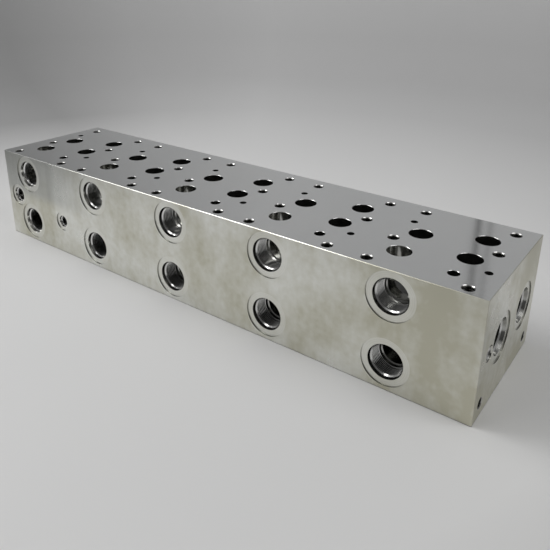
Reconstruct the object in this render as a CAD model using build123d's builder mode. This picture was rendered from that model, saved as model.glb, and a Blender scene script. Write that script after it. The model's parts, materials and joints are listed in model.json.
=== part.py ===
"""Bar manifold for a row of size 08 directional valves, machined from one aluminium bar.

X runs along the bar, Y from the front face with the service ports to the rear face, and Z up to the valve
face. The origin is the centre of the base. All lengths are in millimetres.
"""

import os
from dataclasses import dataclass
from math import radians, tan

from build123d import *

# The bar and the row of valve stations along it
station_count = 5
station_pitch = 133.35
end_margin = 20.625  # end face to the nearest line of valve bolts
front_margin = 10.3  # front face to the front row of valve bolts
rear_margin = 18.25  # rear face to the rear row of valve bolts
block_height = 120.65
edge_break = 0.5  # chamfer along every outer edge of the bar

# The size 08 valve interface, measured from the front left bolt of a station
bolt_span_x = 92.1
bolt_span_y = 130.2
port_row_first = 29.4  # row of the B port; P, A and T follow, one row apart
port_row_pitch = 23.8
left_ports_x = 17.5  # A and B
right_ports_x = 74.6  # P and T
drain_x = 73.1
drain_y = 17.5
front_pin_x = 96.9
front_pin_y = 35.7
rear_pin_x = 0.0

# Holes of the valve interface
flow_bore_radius = 11.906
drain_bore_radius = 5.6
pin_hole_radius = 3.75
pin_hole_depth = 10.0
bolt_thread_radius = 6.0  # M12, at the thread's major diameter
bolt_thread_depth = 28.0

# Galleries along the bar, each beside the row of valve ports that it serves
gallery_height = 60.325
main_gallery_radius = 12.7
main_gallery_offset = 9.525  # P towards the front and T towards the rear, clear of the A bores
drain_gallery_radius = 5.5
drain_gallery_offset = 5.0

# Ports in the front face
service_port_x = 30.0  # from the station's left line of bolts
upper_port_drop = 25.4  # below the valve face, one to each B bore
lower_port_height = 28.575  # above the base, one to each A bore
service_bore_radius = 14.288
drain_port_x = 22.225  # from the left end, into the drain gallery
gauge_port_x = 117.475  # from the left end, into the P gallery
gauge_port_height = 44.45
small_bore_radius = 5.5

# Mounting holes low on both ends, threaded as the valve bolts are
mounting_inset = 15.875  # from the front and rear faces
mounting_height = 14.3
mounting_thread_depth = 25.0

# Common cutting values
drill_point = 118.0  # included angle, degrees
seat_angle = 15.0  # taper of an O-ring seat from the port's axis, degrees
spotface_depth = 1.0
overrun = 6.0  # the tip of a drill runs this far past the axis of the hole that it meets
lead_in = 2.0  # a tool starts this far outside the face that it cuts

block_length = 2 * end_margin + (station_count - 1) * station_pitch + bolt_span_x
block_width = front_margin + bolt_span_y + rear_margin
port_rows = [port_row_first + row * port_row_pitch for row in range(4)]
b_row, p_row, a_row, t_row = port_rows


@dataclass
class ThreadedPort:
    """A straight-thread port with a tapered O-ring seat, at the thread's major radius down to its shoulder."""

    thread_radius: float
    shoulder_depth: float
    seat_width: float  # from the thread out to the mouth
    spotface_width: float  # from the mouth out to the rim of the spotface

    @property
    def mouth_radius(self):
        return self.thread_radius + self.seat_width

    @property
    def spotface_radius(self):
        return self.mouth_radius + self.spotface_width


# Threads 1 5/16-12, 3/4-16 and 9/16-18
main_port = ThreadedPort(thread_radius=16.669, shoulder_depth=22.0, seat_width=1.081, spotface_width=6.75)
drain_port = ThreadedPort(thread_radius=9.525, shoulder_depth=16.0, seat_width=0.775, spotface_width=4.7)
gauge_port = ThreadedPort(thread_radius=7.144, shoulder_depth=15.0, seat_width=0.706, spotface_width=4.65)


def point_length(radius, tip_radius=0.0):
    """Length of a drill point between two radii."""
    return (radius - tip_radius) / tan(radians(drill_point / 2))


def round_tool(profile):
    """A round tool that points down -Z, from its (radius, depth) half profile below the face."""
    first_radius = profile[0][0]
    outline = [(0, lead_in), (first_radius, lead_in)]
    outline += [(radius, -depth) for radius, depth in profile]
    with BuildPart() as tool:
        with BuildSketch(Plane.XZ):
            with BuildLine():
                Polyline(*outline, close=True)
            make_face()
        revolve(axis=Axis.Z)
    return tool.part


def drilled_profile(radius, depth):
    """A plain drilled hole with its drill point."""
    return [(radius, 0), (radius, depth), (0, depth + point_length(radius))]


def port_profile(port, bore_radius, bore_depth, face_depth):
    """A threaded port over the bore that it opens into, with its spotface sunk by face_depth."""
    seat_depth = port.seat_width / tan(radians(seat_angle))
    shoulder_end = port.shoulder_depth + point_length(port.thread_radius, bore_radius)
    rim = [(port.spotface_radius, 0), (port.spotface_radius, face_depth)] if face_depth else []
    return rim + [
        (port.mouth_radius, face_depth),
        (port.thread_radius, face_depth + seat_depth),
        (port.thread_radius, face_depth + port.shoulder_depth),
        (bore_radius, face_depth + shoulder_end),
        (bore_radius, bore_depth),
        (0, bore_depth + point_length(bore_radius)),
    ]


def drilled_to(axis_depth, radius):
    """Depth of the wall of a hole that meets another one whose axis lies this deep."""
    return axis_depth + overrun - point_length(radius)


def valve_bore_tool(radius, axis_depth):
    """Tool for a bore from the valve face into a hole whose axis lies this deep."""
    return round_tool(drilled_profile(radius, drilled_to(axis_depth, radius)))


def front_port_tool(port, bore_radius, axis_depth):
    """Tool for a port in the front face whose bore meets a hole whose axis lies this deep."""
    return round_tool(port_profile(port, bore_radius, drilled_to(axis_depth, bore_radius), spotface_depth))


# Depths of the row's axes below the front face
b_depth, p_depth, a_depth, t_depth = [front_margin + row for row in port_rows]
p_gallery_depth = p_depth - main_gallery_offset
t_gallery_depth = t_depth + main_gallery_offset
drain_gallery_depth = front_margin + drain_y - drain_gallery_offset
lower_port_drop = block_height - lower_port_height
gallery_drop = block_height - gallery_height

# Tools for the valve face
b_tool = valve_bore_tool(flow_bore_radius, upper_port_drop)
a_tool = valve_bore_tool(flow_bore_radius, lower_port_drop)
gallery_bore_tool = valve_bore_tool(flow_bore_radius, gallery_drop)
drain_bore_tool = valve_bore_tool(drain_bore_radius, gallery_drop)

# Tools for the front face
upper_port_tool = front_port_tool(main_port, service_bore_radius, b_depth)
lower_port_tool = front_port_tool(main_port, service_bore_radius, a_depth)
drain_port_tool = front_port_tool(drain_port, small_bore_radius, drain_gallery_depth)
gauge_port_tool = front_port_tool(gauge_port, small_bore_radius, p_gallery_depth)

# Tools for the ends: the main galleries run half the bar from each end and so right through it, and the
# drain gallery is drilled from the right end as far as the drain port at the left
main_gallery_tool = round_tool(
    port_profile(main_port, main_gallery_radius, block_length / 2 + overrun, spotface_depth)
)
drain_gallery_length = drilled_to(block_length - drain_port_x, drain_gallery_radius)
drain_gallery_tool = round_tool(port_profile(gauge_port, drain_gallery_radius, drain_gallery_length, 0))
mounting_tool = round_tool(drilled_profile(bolt_thread_radius, mounting_thread_depth))

# Faces, each with its normal out of the bar: X and Y of a face plane follow the lists of spots below
valve_face = Plane(origin=(-block_length / 2, -block_width / 2, block_height))
front_face = Plane(origin=(-block_length / 2, -block_width / 2, 0), x_dir=(1, 0, 0), z_dir=(0, -1, 0))
right_face = Plane(origin=(block_length / 2, -block_width / 2, 0), x_dir=(0, 1, 0), z_dir=(1, 0, 0))
left_face = Plane(origin=(-block_length / 2, block_width / 2, 0), x_dir=(0, -1, 0), z_dir=(-1, 0, 0))

station_starts = [end_margin + index * station_pitch for index in range(station_count)]


def station_spots(*spots):
    """Repeats spots of the valve interface on every station, in the plane of the valve face."""
    return [(start + x, front_margin + y) for start in station_starts for x, y in spots]


# A middle bolt stands in the P row on the left line, and in the A row on the right line
bolt_spots = station_spots(
    (0, 0),
    (bolt_span_x, 0),
    (0, bolt_span_y),
    (bolt_span_x, bolt_span_y),
    (0, p_row),
    (bolt_span_x, a_row),
)
pin_spots = station_spots((front_pin_x, front_pin_y), (rear_pin_x, t_row))
gallery_bore_spots = station_spots((right_ports_x, p_row), (right_ports_x, t_row))
upper_port_height = block_height - upper_port_drop

with BuildPart() as manifold_block:
    Box(block_length, block_width, block_height, align=(Align.CENTER, Align.CENTER, Align.MIN))
    chamfer(manifold_block.edges(), edge_break)

    # Valve face
    with Locations(valve_face):
        with Locations(*bolt_spots):
            Hole(bolt_thread_radius, bolt_thread_depth)
        with Locations(*pin_spots):
            Hole(pin_hole_radius, pin_hole_depth)
        with Locations(*station_spots((left_ports_x, b_row))):
            add(b_tool, mode=Mode.SUBTRACT)
        with Locations(*station_spots((left_ports_x, a_row))):
            add(a_tool, mode=Mode.SUBTRACT)
        with Locations(*gallery_bore_spots):
            add(gallery_bore_tool, mode=Mode.SUBTRACT)
        with Locations(*station_spots((drain_x, drain_y))):
            add(drain_bore_tool, mode=Mode.SUBTRACT)

    # Front face
    with Locations(front_face):
        with Locations(*[(start + service_port_x, upper_port_height) for start in station_starts]):
            add(upper_port_tool, mode=Mode.SUBTRACT)
        with Locations(*[(start + service_port_x, lower_port_height) for start in station_starts]):
            add(lower_port_tool, mode=Mode.SUBTRACT)
        with Locations((drain_port_x, gallery_height)):
            add(drain_port_tool, mode=Mode.SUBTRACT)
        with Locations((gauge_port_x, gauge_port_height)):
            add(gauge_port_tool, mode=Mode.SUBTRACT)

    # Ends
    with Locations(right_face):
        with Locations((p_gallery_depth, gallery_height), (t_gallery_depth, gallery_height)):
            add(main_gallery_tool, mode=Mode.SUBTRACT)
        with Locations((drain_gallery_depth, gallery_height)):
            add(drain_gallery_tool, mode=Mode.SUBTRACT)
        with Locations((mounting_inset, mounting_height), (block_width - mounting_inset, mounting_height)):
            add(mounting_tool, mode=Mode.SUBTRACT)
    with Locations(left_face):
        with Locations(
            (block_width - p_gallery_depth, gallery_height),
            (block_width - t_gallery_depth, gallery_height),
        ):
            add(main_gallery_tool, mode=Mode.SUBTRACT)
        with Locations((mounting_inset, mounting_height), (block_width - mounting_inset, mounting_height)):
            add(mounting_tool, mode=Mode.SUBTRACT)

manifold_block.part.label = "manifold_block"

os.makedirs("parts", exist_ok=True)
export_step(manifold_block.part, "parts/manifold_block.step")
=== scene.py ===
"""Looks of the hydraulic manifold block: threads, deburred mouths, machined metal, studio and camera."""

import json
import math

import bpy
from mathutils import Matrix, Vector


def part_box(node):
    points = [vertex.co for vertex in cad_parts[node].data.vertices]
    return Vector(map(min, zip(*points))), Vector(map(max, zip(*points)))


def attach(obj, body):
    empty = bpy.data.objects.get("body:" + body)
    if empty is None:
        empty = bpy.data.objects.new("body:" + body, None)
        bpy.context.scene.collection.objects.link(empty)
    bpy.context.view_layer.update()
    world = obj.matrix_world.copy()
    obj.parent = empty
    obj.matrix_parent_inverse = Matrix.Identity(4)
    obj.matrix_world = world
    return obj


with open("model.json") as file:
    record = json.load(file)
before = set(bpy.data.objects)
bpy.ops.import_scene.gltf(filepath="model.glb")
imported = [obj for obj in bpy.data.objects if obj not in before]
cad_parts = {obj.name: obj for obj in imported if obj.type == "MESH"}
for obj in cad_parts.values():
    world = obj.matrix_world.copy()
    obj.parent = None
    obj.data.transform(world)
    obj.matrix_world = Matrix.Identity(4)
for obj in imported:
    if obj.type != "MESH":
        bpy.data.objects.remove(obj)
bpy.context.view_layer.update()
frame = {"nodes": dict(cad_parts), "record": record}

MM = 0.001
NODE = "manifold_block"
BODY = "root"
low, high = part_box(NODE)
length, height = high.x - low.x, high.z - low.z
mounts = {m["name"]: m for m in frame["record"]["mounts"]}


# Geometry ---------------------------------------------------------------------------------------------------

# Sizes of the holes' details, in millimetres
SUNK = 0.04  # how far the foot of a ridge or ring is sunk into the wall
MOUTH_GAP = 0.02  # a ring at a mouth starts this far below the face
PORTS = {  # pitch and radius of the mouth, by thread radius
    16.669: (2.1167, 17.75),
    9.525: (1.5875, 10.3),
    7.144: (1.4111, 7.85),
}
BOLT_RADIUS, BOLT_PITCH = 6.0, 1.75
BOLT_DEPTH, MOUNTING_DEPTH = 28.0, 25.0
BOLT_RUN_OUT = 4  # plain wall at the foot of a bolt hole
SINK_EDGE, SINK_EDGE_DEPTH = 0.3, 0.36  # bright edge of a countersink
SINK_SLEEVE = 0.5  # length of the ring below a countersink
RIM_WIDTH, RIM_DEPTH, RIM_FOOT = 0.2, 0.26, 0.5  # deburred rim of a bore

# Slopes, as radius over depth
SEAT_SLOPE = math.tan(math.radians(15))
SHOULDER_SLOPE = math.tan(math.radians(59))
FLANK_SLOPE = math.tan(math.radians(60))

# Shares of a thread's pitch
RIDGE = 0.5413  # height of a ridge
HALF_CREST = 1 / 8
RING_TAPER = 0.3  # from a ring's crest back to the wall
THREAD_OVERLAP = 0.2  # a port's thread starts this far above the foot of its lead-in
RUN_OUT = 1.4  # length of the run-out above a port's shoulder

LEAD_SHARE = 0.18  # share of an O-ring seat's depth that the lead-in takes up
PORT_SEGMENTS, BOLT_SEGMENTS, BOLT_THREAD_SEGMENTS = 64, 36, 24


def seat_on(mouth, axis):
    """Matrix from a hole's own frame, with +Z out of its mouth, to the row frame."""
    turn = Vector((0, 0, 1)).rotation_difference(Vector(axis)).to_matrix().to_4x4()
    return Matrix.Translation(Vector(mouth)) @ turn


def add_mesh(name, points, quads, material):
    """A smooth-shaded object of its own in the scene."""
    mesh = bpy.data.meshes.new(name)
    mesh.from_pydata(points, [], quads)
    mesh.shade_smooth()
    mesh.materials.append(material)
    made = bpy.data.objects.new(name, mesh)
    bpy.context.scene.collection.objects.link(made)
    return made


class Piece:
    """Collects strips of quads into one object, each smooth along itself and sharp against the others."""

    def __init__(self, name):
        self.name, self.points, self.quads = name, [], []

    def strip(self, matrix, first, second, closed=False):
        """A band between two lines of points given in a hole's own frame, in millimetres."""
        start = len(self.points)
        for a, b in zip(first, second):
            self.points += [matrix @ (Vector(a) * MM), matrix @ (Vector(b) * MM)]
        count = len(first)
        for i in range(count if closed else count - 1):
            a, b = start + 2 * i, start + 2 * ((i + 1) % count)
            self.quads.append((a, b, b + 1, a + 1))

    def build(self, material):
        made = add_mesh(self.name, self.points, self.quads, material)
        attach(made, BODY)


def angles(segments):
    """Even steps round a circle, in radians."""
    return [2 * math.pi * i / segments for i in range(segments)]


def circle(radius, depth, segments):
    """Points of a circle below a hole's mouth."""
    return [(radius * math.cos(t), radius * math.sin(t), -depth) for t in angles(segments)]


def ring(piece, matrix, profile, segments):
    """Revolves a (radius, depth) profile, one sharp-edged band for each of its stretches."""
    for (r0, d0), (r1, d1) in zip(profile, profile[1:]):
        piece.strip(matrix, circle(r0, d0, segments), circle(r1, d1, segments), closed=True)


def thread(piece, matrix, radius, pitch, start, end, segments):
    """The ridge of a 60 degree internal thread, standing inward from a wall at its major radius."""
    steps = int(((end - start) / pitch - 1) * segments)
    ramp = segments / 3  # steps over which the ridge rises at each end
    half_crest = HALF_CREST * pitch
    lines = [[], [], [], []]
    for i in range(steps + 1):
        angle = 2 * math.pi * i / segments
        middle = start + pitch / 2 + pitch * i / segments
        rise = RIDGE * pitch * min(1, i / ramp, (steps - i) / ramp)
        half_foot = half_crest + rise / FLANK_SLOPE
        section = (
            (radius + SUNK, middle - half_foot),
            (radius - rise, middle - half_crest),
            (radius - rise, middle + half_crest),
            (radius + SUNK, middle + half_foot),
        )
        for line, (r, depth) in zip(lines, section):
            line.append((r * math.cos(angle), r * math.sin(angle), -depth))
    for first, second in zip(lines, lines[1:]):
        piece.strip(matrix, first, second)


def valve_bolts():
    """Mouths of the valve bolt holes, from each station's two patterns."""
    for name, mount in mounts.items():
        centre, dims = Vector(mount["pos_m"]), mount["dims"]
        if name.endswith("corner_bolts"):
            half = Vector((dims["spacing_x_mm"], dims["spacing_y_mm"])) / 2 * MM
            for sx in (-1, 1):
                for sy in (-1, 1):
                    yield centre + Vector((sx * half.x, sy * half.y, 0))
        elif name.endswith("middle_bolts"):
            corner = mounts[name.replace("middle", "corner")]["dims"]
            dx = corner["spacing_x_mm"] / 2
            dy = math.sqrt((dims["pcd_mm"] / 2) ** 2 - dx ** 2)
            for side in (-1, 1):
                yield centre + Vector((side * dx, side * dy, 0)) * MM


port_threads, port_edges = Piece("port_threads"), Piece("port_edges")
bolt_threads, rims = Piece("bolt_threads"), Piece("deburred_rims")


def port_inside(matrix, radius, span):
    """Lead-in, thread and run-out of a port, from the foot of its O-ring seat down to its shoulder."""
    pitch, mouth = PORTS[radius]
    crest = radius - RIDGE * pitch
    taper = RING_TAPER * pitch
    lead = LEAD_SHARE * (mouth - radius) / SEAT_SLOPE
    rim = radius + lead * SEAT_SLOPE
    lead_foot = rim - crest - lead  # the lead-in is cut at 45 degrees
    run_out = span - RUN_OUT * pitch
    shoulder = span + (radius - crest) / SHOULDER_SLOPE
    lead_in = [(rim + SUNK, -lead), (crest, lead_foot), (radius + SUNK, lead_foot + taper)]
    ring(port_edges, matrix, lead_in, PORT_SEGMENTS)
    start = lead_foot - THREAD_OVERLAP * pitch
    thread(port_threads, matrix, radius, pitch, start, run_out, PORT_SEGMENTS)
    sleeve = [(radius + SUNK, run_out - taper), (crest, run_out), (crest, shoulder)]
    ring(port_edges, matrix, sleeve, PORT_SEGMENTS)


def tapped_hole(mouth, axis, depth):
    """Countersink with its bright edge, and thread, of a bolt hole."""
    matrix = seat_on(mouth, axis)
    crest = BOLT_RADIUS - RIDGE * BOLT_PITCH
    sink = BOLT_RADIUS - crest
    edge = (BOLT_RADIUS - SINK_EDGE, SINK_EDGE_DEPTH)
    ring(rims, matrix, [(BOLT_RADIUS + SUNK, MOUTH_GAP), edge], BOLT_SEGMENTS)
    sleeve_foot = (BOLT_RADIUS + SUNK, sink + SINK_SLEEVE)
    ring(bolt_threads, matrix, [edge, (crest, sink), sleeve_foot], BOLT_SEGMENTS)
    end = depth - BOLT_RUN_OUT
    thread(bolt_threads, matrix, BOLT_RADIUS, BOLT_PITCH, sink, end, BOLT_THREAD_SEGMENTS)


def bore_rim(mouth, axis, radius):
    """Deburred rim just inside the mouth of a flow or drain bore."""
    outer = radius + SUNK
    profile = [(outer, MOUTH_GAP), (radius - RIM_WIDTH, RIM_DEPTH), (outer, RIM_FOOT)]
    ring(rims, seat_on(mouth, axis), profile, PORT_SEGMENTS)


for mount in mounts.values():
    axis, dims = Vector(mount["axis"]), mount["dims"]
    if mount["kind"] == "threaded_hole" and dims["r_mm"] > BOLT_RADIUS:
        foot_of_seat = Vector(mount["pos_m"]) + axis * dims["length_mm"] / 2 * MM
        port_inside(seat_on(foot_of_seat, axis), dims["r_mm"], dims["length_mm"])
for mouth in valve_bolts():
    tapped_hole(mouth, (0, 0, 1), BOLT_DEPTH)
for name, mount in mounts.items():
    x, y, z = mount["pos_m"]
    axis = mount["axis"]
    if "mounting_hole" in name:
        tapped_hole((axis[0] * length / 2, y, z), axis, MOUNTING_DEPTH)
    elif name.endswith("_bore"):
        bore_rim((x, y, height), axis, mount["dims"]["r_mm"])


# Materials --------------------------------------------------------------------------------------------------

class Shader:
    """A material's node tree, with short calls for the nodes used here."""

    def __init__(self, name):
        self.material = bpy.data.materials.new(name)
        self.material.use_nodes = True
        self.tree = self.material.node_tree
        self.surface = self.tree.nodes["Principled BSDF"]
        self.place = self.node("TexCoord").outputs["Object"]  # the point in the row frame, in metres

    def node(self, kind, inputs=(), **settings):
        made = self.tree.nodes.new("ShaderNode" + kind)
        for key, value in settings.items():
            setattr(made, key, value)
        for key, value in dict(inputs).items():
            self.put(made.inputs[key], value)
        return made

    def put(self, socket, value):
        if isinstance(value, bpy.types.NodeSocket):
            self.tree.links.new(value, socket)
        else:
            socket.default_value = value

    def math(self, operation, *values):
        return self.node("Math", enumerate(values), operation=operation).outputs[0]

    def product(self, first, *others):
        """All the values multiplied together."""
        for value in others:
            first = self.math("MULTIPLY", first, value)
        return first

    def flip(self, value):
        """What is left of 1."""
        return self.math("SUBTRACT", 1.0, value)

    def reach(self, vector):
        """Length of a vector."""
        return self.node("VectorMath", {0: vector}, operation="LENGTH").outputs["Value"]

    def axes(self):
        """X, Y and Z of the point in the row frame, in metres."""
        return self.node("SeparateXYZ", {0: self.place}).outputs

    def noise(self, scale, detail, stretch=(1, 1, 1), roughness=0.5):
        """Noise of about 1/scale metres, drawn out along an axis whose stretch is below 1."""
        moved = self.node("Mapping", {"Vector": self.place, "Scale": stretch}).outputs[0]
        inputs = {"Vector": moved, "Scale": scale, "Detail": detail, "Roughness": roughness}
        return self.node("TexNoise", inputs).outputs[0]

    def band(self, value, start, end):
        """1 where the value lies between the limits, and 0 elsewhere."""
        return self.product(self.math("GREATER_THAN", value, start), self.math("LESS_THAN", value, end))

    def remap(self, value, start, end, to_start=0.0, to_end=1.0):
        """Evenly from to_start at one limit to to_end at the other, and level beyond them."""
        return self.node("MapRange", {0: value, 1: start, 2: end, 3: to_start, 4: to_end}).outputs[0]

    def smooth(self, value, start, end):
        """From 0 at one limit to 1 at the other, with soft ends."""
        inputs = {0: value, 1: start, 2: end}
        return self.node("MapRange", inputs, interpolation_type="SMOOTHSTEP").outputs[0]

    def ramp(self, value, stops):
        """Greys by value, as (place, grey) stops."""
        made = self.node("ValToRGB", {0: value})
        elements = made.color_ramp.elements
        elements[0].position, elements[-1].position = stops[0][0], stops[-1][0]
        for place, _ in stops[1:-1]:
            elements.new(place)
        for element, (_, grey) in zip(elements, stops):
            element.color = (grey, grey, grey, 1)
        return made.outputs[0]

    def mix(self, factor, a, b):
        """Mixes two colours."""
        made = self.node("Mix", data_type="RGBA")
        for index, value in ((0, factor), (6, a), (7, b)):
            self.put(made.inputs[index], value)
        return made.outputs[2]

    def blend(self, factor, a, b):
        """The same for plain numbers."""
        return self.node("Mix", {0: factor, 2: a, 3: b}).outputs[0]


THIN = 0.05 * MM  # tolerance on the place of a face
SPOTFACE = 1.0 * MM  # depth of every spotface
BASE_LINE = 0.6 * MM  # height of the painted shade along the base, where the block meets the floor
MARK_PITCH = 1.9 * MM  # between the rings that turning leaves
GRAIN_DEPTH, GRAIN_STRENGTH = 0.02 * MM, 0.3
NOISE_RANGE = (0.3, 0.7)  # nearly all of a noise's values lie in it

# Stains of the sides and a painted dark reflection on the front, with places in metres in the row frame
FINE_SHARE = 0.25  # weight of the streaks and the mottle against the blotches
STAIN_RANGE = (0.62, 0.98)  # their sum where a stain begins and where it is full
WORN_X, WORN_GAIN = (0.15, 0.32), 0.18  # the right end adds to the sum
DARK_REFLECTION_X, DARK_REFLECTION_Z = (-0.12, -0.26), (0.056, 0.075)  # a painted dark reflection sets in at the front's upper left
PATCHY = (0.2, 0.8, 0.5, 1.0)  # how the streaks break up the painted dark reflection

# The block's colours, with the darker and the lighter one where there are two
GROUND = (0.84, 0.855, 0.86, 1), (0.90, 0.905, 0.90, 1)
TURNED = (0.78, 0.78, 0.73, 1), (0.86, 0.86, 0.81, 1)
TURNED_SHARE = 0.6  # how much of its own colour a spotface's floor takes on
MILLED = (0.82, 0.825, 0.78, 1)
STAINED = (0.58, 0.565, 0.46, 1)
# The next four are painted: a dark reflection on the front's upper left, and shade on the holes' walls, the
# spotfaces' walls and along the base
PAINTED_DARK_REFLECTION = (0.47, 0.48, 0.46, 1)
PAINTED_BORE_SHADE = (0.46, 0.46, 0.44, 1)
PAINTED_STEP_SHADE = (0.25, 0.25, 0.23, 1)
PAINTED_BASE_SHADE = (0.12, 0.12, 0.11, 1)

# Roughness, from its lower to its upper end where it varies
SIDE_ROUGH, TOP_ROUGH, DRILLED_ROUGH = (0.26, 0.38), (0.07, 0.11), 0.17
CUT_ROUGH_SPAN = 0.1


def regions(s, x, y, z):
    """Masks of the top, the spotfaces' walls and floors, the holes' walls and the front face's zone."""
    below_front = s.math("SUBTRACT", y, low.y)
    below_end = s.math("SUBTRACT", high.x, s.math("ABSOLUTE", x))
    on_top = s.math("GREATER_THAN", z, high.z - THIN)
    near_end = s.math("LESS_THAN", below_end, SPOTFACE + THIN)
    near_front = s.math("LESS_THAN", below_front, SPOTFACE + THIN)
    mid_height = s.band(z, SPOTFACE, high.z - SPOTFACE)

    front_step = s.product(s.band(below_front, THIN, SPOTFACE - THIN), s.flip(near_end))
    end_step = s.product(s.band(below_end, THIN, SPOTFACE - THIN), s.flip(near_front))
    step = s.product(s.math("MAXIMUM", front_step, end_step), mid_height)

    front_floor = s.band(below_front, SPOTFACE - THIN, SPOTFACE + THIN)
    end_floor = s.band(below_end, SPOTFACE - THIN, SPOTFACE + THIN)
    floor = s.product(s.math("MAXIMUM", front_floor, end_floor), mid_height)

    off_rear = s.math("LESS_THAN", y, high.y - THIN)
    off_ports = s.flip(s.math("MAXIMUM", near_end, near_front))
    inside = s.product(s.band(z, THIN, high.z - THIN), off_rear, off_ports)
    return on_top, step, floor, inside, near_front


def turning_marks(s, x, z):
    """Fine rings about the axis of the nearest service port, from 0 to 1."""
    ports = ("station_1_b_port", "station_1_a_port", "station_2_b_port")
    upper, lower, after = (Vector(mounts[name]["pos_m"]) for name in ports)
    pitch = after.x - upper.x
    along = s.math("SUBTRACT", x, upper.x - pitch / 2)
    along = s.math("SUBTRACT", s.math("FLOORED_MODULO", along, pitch), pitch / 2)
    across = [s.math("ABSOLUTE", s.math("SUBTRACT", z, port.z)) for port in (upper, lower)]
    offset = s.node("CombineXYZ", {0: along, 1: s.math("MINIMUM", *across)}).outputs[0]
    wave = s.math("SINE", s.math("MULTIPLY", s.reach(offset), 2 * math.pi / MARK_PITCH))
    return s.remap(wave, -1.0, 1.0)


def block_metal():
    """Machined aluminium: ground valve face, stained milled sides, bright spotfaces; painted shade on the
    holes' walls, spotface walls and base edge, and a painted dark reflection on the front.
    """
    s = Shader("machined_aluminium")
    x, y, z = s.axes()
    on_top, step, floor, inside, near_front = regions(s, x, y, z)
    blotches = s.noise(16, 4, (1, 1, 0.8), 0.6)
    streaks = s.noise(60, 3, (1, 1, 0.15), 0.6)
    mottle = s.noise(140, 3)
    grain = s.noise(900, 2, (1, 1, 0.08))

    worn_end = s.product(s.remap(x, *WORN_X), WORN_GAIN)
    fine = s.product(s.math("ADD", streaks, mottle), FINE_SHARE)
    stain = s.math("ADD", s.math("ADD", blotches, worn_end), fine)
    sides = s.mix(s.remap(stain, *STAIN_RANGE), MILLED, STAINED)
    # Painted dark reflection at the front's upper left, broken up by the streaks
    corner = s.product(s.smooth(x, *DARK_REFLECTION_X), s.smooth(z, *DARK_REFLECTION_Z))
    dark_reflection = s.product(corner, near_front, s.remap(streaks, *PATCHY))
    sides = s.mix(dark_reflection, sides, PAINTED_DARK_REFLECTION)

    colour = s.mix(on_top, sides, s.mix(s.noise(7, 3), *GROUND))
    turned = s.mix(turning_marks(s, x, z), *TURNED)
    colour = s.mix(s.product(floor, TURNED_SHARE), colour, turned)
    # Painted shade on the spotfaces' walls
    colour = s.mix(step, colour, PAINTED_STEP_SHADE)
    # Painted shade along the base, where the block meets the floor
    colour = s.mix(s.band(z, -THIN, BASE_LINE), colour, PAINTED_BASE_SHADE)
    # Painted shade darkens the holes' walls
    s.put(s.surface.inputs["Base Color"], s.mix(inside, colour, PAINTED_BORE_SHADE))
    s.surface.inputs["Metallic"].default_value = 1.0

    side_rough = s.remap(blotches, *NOISE_RANGE, *SIDE_ROUGH)
    top_rough = s.remap(grain, *NOISE_RANGE, *TOP_ROUGH)
    cut = s.math("MAXIMUM", inside, step)
    rough = s.blend(cut, s.blend(on_top, side_rough, top_rough), DRILLED_ROUGH)
    s.put(s.surface.inputs["Roughness"], rough)
    bump = s.node("Bump", {"Height": grain, "Distance": GRAIN_DEPTH, "Strength": GRAIN_STRENGTH})
    s.put(s.surface.inputs["Normal"], bump.outputs[0])
    return s.material


def cut_metal(name, dark, light, rough):
    """Bare metal of small turned edges and threads; the threads' darker greys are painted shade."""
    s = Shader(name)
    grain = s.noise(700, 2)
    s.put(s.surface.inputs["Base Color"], s.mix(grain, (*dark, 1), (*light, 1)))
    s.surface.inputs["Metallic"].default_value = 1.0
    s.put(s.surface.inputs["Roughness"], s.remap(grain, *NOISE_RANGE, rough, rough + CUT_ROUGH_SPAN))
    return s.material


frame["nodes"][NODE].material_slots[0].material = block_metal()
turned_edge = cut_metal("turned_edge", dark=(0.74, 0.735, 0.72), light=(0.82, 0.82, 0.81), rough=0.16)
# Painted shade darkens the bolt threads
shaded_bolt_thread = cut_metal("shaded_bolt_thread", dark=(0.14, 0.14, 0.13), light=(0.22, 0.22, 0.21), rough=0.2)
# Painted shade darkens the port threads
shaded_port_thread = cut_metal("shaded_port_thread", dark=(0.50, 0.50, 0.49), light=(0.60, 0.60, 0.59), rough=0.10)
port_threads.build(shaded_port_thread)
port_edges.build(turned_edge)
bolt_threads.build(shaded_bolt_thread)
rims.build(turned_edge)


# Studio -----------------------------------------------------------------------------------------------------

FLOOR_RADIUS, CURVE_RADIUS, WALL_TOP = 1.4, 0.8, 2.6
BACKDROP_SEGMENTS = 96

# Grey of the wall by azimuth in degrees, painted shade: darker on the camera's side and to the left behind
# the block
WALL = (
    (-180, 0.44), (-140, 0.26), (-100, 0.18), (-20, 0.18), (20, 0.32), (50, 0.62),
    (75, 0.72), (95, 0.78), (125, 0.82), (142, 0.64), (156, 0.40), (180, 0.44),
)
WALL_FOOT_Z, WALL_FOOT_SHADE = (0.1, 0.4), 0.82  # painted shade: the wall is dimmer up to these heights
FOLDS = ((99.0, 0.42, 0.9), (97.6, 0.4, 0.45))  # azimuth, half width and darkness of painted shade in two folds
FOLD_Z = (0.4, 0.6)  # heights between which the folds come in
PAINTED_FOLD_SHADE = (0.02, 0.02, 0.02, 1)
FLOOR_GREYS = (0.74, 0.74, 0.74, 1), (0.78, 0.78, 0.775, 1)
SHADOW_X, SHADOW_Y, PAINTED_SHADOW_GREY = (-0.30, -0.75), (-0.14, -0.42), (0.26, 0.26, 0.26, 1)  # painted shadow on the front left of the floor
WALL_FROM = (0.4, 0.95)  # distances over which the wall's grey takes over from the floor's
PAPER_ROUGH = 0.7
SKY_STRENGTH = 0.3


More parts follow.
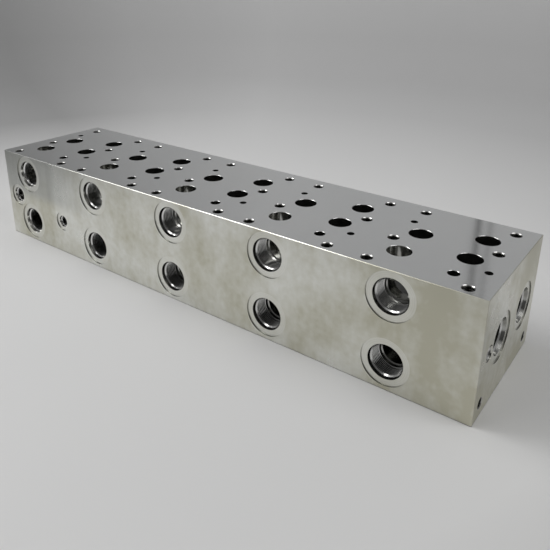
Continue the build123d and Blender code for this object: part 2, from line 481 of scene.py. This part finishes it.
def backdrop(name, material):
    """A round floor that curves up into a wall all about."""
    profile = [(0, 0), (FLOOR_RADIUS, 0)]
    for turn in (math.radians(degrees) for degrees in range(6, 91, 6)):
        out, rest = CURVE_RADIUS * math.sin(turn), CURVE_RADIUS * math.cos(turn)
        profile.append((FLOOR_RADIUS + out, CURVE_RADIUS - rest))
    profile.append((FLOOR_RADIUS + CURVE_RADIUS, WALL_TOP))
    count = BACKDROP_SEGMENTS
    points = [(r * math.cos(t), r * math.sin(t), z) for r, z in profile for t in angles(count)]
    quads = []
    for inner in range(0, (len(profile) - 1) * count, count):
        outer = inner + count
        for i in range(count):
            after = (i + 1) % count
            quads.append((inner + i, inner + after, outer + after, outer + i))
    add_mesh(name, points, quads, material)


def paper():
    """Pale backdrop paper with painted shade round the wall, at its foot and in its folds, and a painted
    shadow on the front left of the floor.
    """
    s = Shader("backdrop_paper")
    x, y, z = s.axes()
    azimuth = s.math("DEGREES", s.math("ARCTAN2", y, x))
    # Painted shade graded round the wall
    wall = s.ramp(s.remap(azimuth, -180, 180), [((place + 180) / 360, grey) for place, grey in WALL])
    # Painted shade in two folds high in the wall
    for place, half_width, darkness in FOLDS:
        away = s.math("ABSOLUTE", s.math("SUBTRACT", azimuth, place))
        fold = s.remap(away, half_width, half_width / 3, 0.0, darkness)
        wall = s.mix(s.product(fold, s.remap(z, *FOLD_Z)), wall, PAINTED_FOLD_SHADE)
    # Painted shade at the foot of the wall
    foot_shade = s.remap(z, *WALL_FOOT_Z, WALL_FOOT_SHADE, 1.0)
    wall = s.node("VectorMath", {0: wall, "Scale": foot_shade}, operation="SCALE").outputs[0]
    # Painted shadow on the front left of the floor
    shadow_corner = s.product(s.smooth(x, *SHADOW_X), s.smooth(y, *SHADOW_Y))
    floor = s.mix(shadow_corner, s.mix(s.noise(3, 3), *FLOOR_GREYS), PAINTED_SHADOW_GREY)
    s.put(s.surface.inputs["Base Color"], s.mix(s.remap(s.reach(s.place), *WALL_FROM), floor, wall))
    s.surface.inputs["Roughness"].default_value = PAPER_ROUGH
    return s.material


def softbox(name, place, aim, size, power):
    """A rectangular light that faces its aim."""
    light = bpy.data.lights.new(name, "AREA")
    light.shape = "RECTANGLE"
    light.size, light.size_y = size
    light.energy = power
    made = bpy.data.objects.new(name, light)
    made.location = place
    made.rotation_mode = "QUATERNION"
    made.rotation_quaternion = (Vector(aim) - Vector(place)).to_track_quat("-Z", "Y")
    bpy.context.scene.collection.objects.link(made)


backdrop("floor", paper())
softbox("left", place=(-1.4, -0.35, 1.75), aim=(0, 0, 0), size=(1.2, 1.4), power=17)
softbox("right", place=(1.5, 0.2, 1.65), aim=(0, 0, 0), size=(1.2, 1.4), power=11.5)
softbox("edge_strip", place=(-0.62, -0.64, 1.15), aim=(0.1, -0.08, 0.12), size=(1.5, 0.25), power=4.2)

world = bpy.data.worlds.new("studio")
world.use_nodes = True
sky = world.node_tree.nodes["Background"].inputs
sky["Color"].default_value = (1, 1, 1, 1)
sky["Strength"].default_value = SKY_STRENGTH
bpy.context.scene.world = world
bpy.context.scene.view_settings.view_transform = "Standard"

# Camera: a 40.5 mm lens on a 36 mm frame
eye = Vector((0.44586, -0.51828, 0.36397))
forward = Vector((-0.55561, 0.75818, -0.34126))
up = Vector((-0.21065, 0.26869, 0.93991))
right = forward.cross(up)
camera = bpy.data.objects.new("camera", bpy.data.cameras.new("camera"))
camera.data.sensor_width, camera.data.lens = 36.0, 40.5
camera.data.shift_x, camera.data.shift_y = 0.004, -0.157
camera.matrix_world = Matrix.Translation(eye) @ Matrix((right, up, -forward)).transposed().to_4x4()
bpy.context.scene.collection.objects.link(camera)
bpy.context.scene.camera = camera
